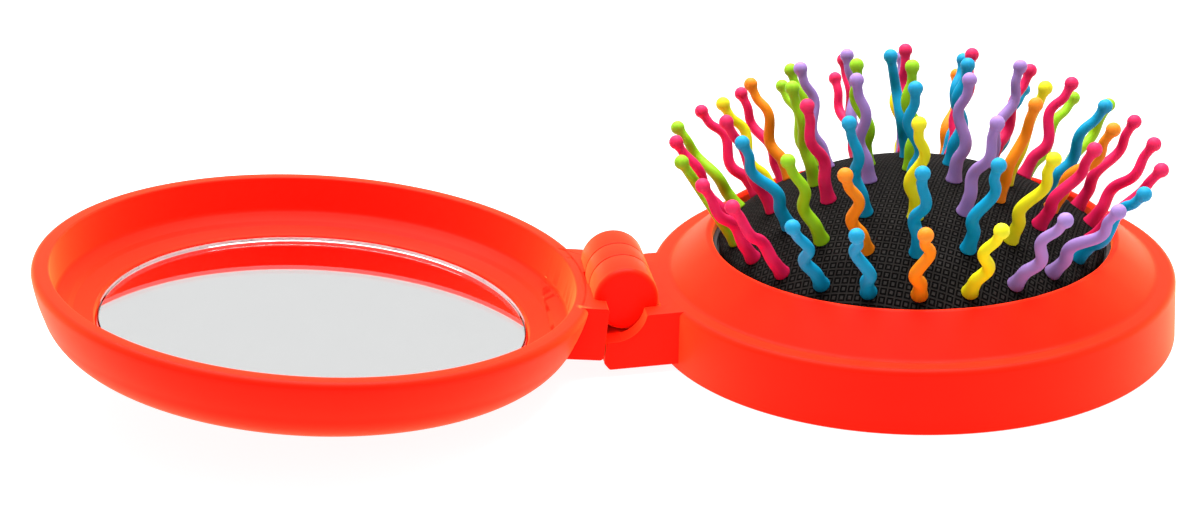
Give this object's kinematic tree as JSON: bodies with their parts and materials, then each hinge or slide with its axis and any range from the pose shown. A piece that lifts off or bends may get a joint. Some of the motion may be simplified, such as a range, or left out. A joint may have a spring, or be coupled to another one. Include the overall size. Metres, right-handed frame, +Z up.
{
  "type": "folding hairbrush with mirror",
  "caption": "Round folding pocket hairbrush: a mirror dish hinged to a base whose domed rubber pad of wavy pins sinks in to close.",
  "frame": {"origin": "under the middle of the open brush, in the plane of the base's underside", "axes": "+X from the lid to the base, square to the hinge; +Y along the hinge, away from the viewer of the picture; +Z up"},
  "size_m": [0.1462, 0.07, 0.0354],
  "materials": {
    "red_plastic": "moulded, glossy",
    "black_plastic": "moulded, satin",
    "black_rubber": "finely squared, matt",
    "mirror": "silvered glass, bevelled edge",
    "tape": "double-sided foam tape",
    "steel": "drawn wire",
    "pink_nylon": "translucent nylon",
    "lime_nylon": "translucent nylon",
    "blue_nylon": "translucent nylon",
    "violet_nylon": "translucent nylon",
    "yellow_nylon": "translucent nylon",
    "orange_nylon": "translucent nylon"
  },
  "bodies": {
    "base": {"base_housing": "red_plastic", "bottom_cover": "red_plastic"},
    "pad": {"pad_carrier": "black_plastic", "clamp_ring": "black_plastic", "cushion": "black_rubber", "pin_centre_lime": "lime_nylon", "pins_1_blue": "blue_nylon", "pins_1_lime": "lime_nylon", "pins_1_violet": "violet_nylon", "pins_2_violet": "violet_nylon", "pins_2_pink": "pink_nylon", "pins_2_lime": "lime_nylon", "pins_2_blue": "blue_nylon", "pins_2_yellow": "yellow_nylon", "pins_2_orange": "orange_nylon", "pins_3_pink": "pink_nylon", "pins_3_blue": "blue_nylon", "pins_3_violet": "violet_nylon", "pins_3_lime": "lime_nylon", "pins_3_orange": "orange_nylon", "pins_3_yellow": "yellow_nylon", "pins_4_lime": "lime_nylon", "pins_4_blue": "blue_nylon", "pins_4_orange": "orange_nylon", "pins_4_yellow": "yellow_nylon", "pins_4_pink": "pink_nylon", "pins_4_violet": "violet_nylon"},
    "lid": {"lid_shell": "red_plastic", "mirror_glass": "mirror", "mirror_tape": "tape", "hinge_pin": "steel"}
  },
  "joints": [
    {"name": "lid_hinge", "type": "hinge", "parent": "base", "child": "lid", "pos_m": [-0.00005, 0, 0.0092], "axis": [0, 1, 0], "range_deg": [0, 171.5]},
    {"name": "pad_slide", "type": "slide", "parent": "base", "child": "pad", "axis": [0, 0, -1], "range_m": [0, 0.008], "deforming": ["cushion", "pin_centre_lime", "pins_1_blue", "pins_1_lime", "pins_1_violet", "pins_2_violet", "pins_2_pink", "pins_2_lime", "pins_2_blue", "pins_2_yellow", "pins_2_orange", "pins_3_pink", "pins_3_blue", "pins_3_violet", "pins_3_lime", "pins_3_orange", "pins_3_yellow", "pins_4_lime", "pins_4_blue", "pins_4_orange", "pins_4_yellow", "pins_4_pink", "pins_4_violet"]}
  ],
  "couplings": [
    {"joint": "pad_slide", "follows": "lid_hinge", "m_per_rad": 0.0026727}
  ]
}
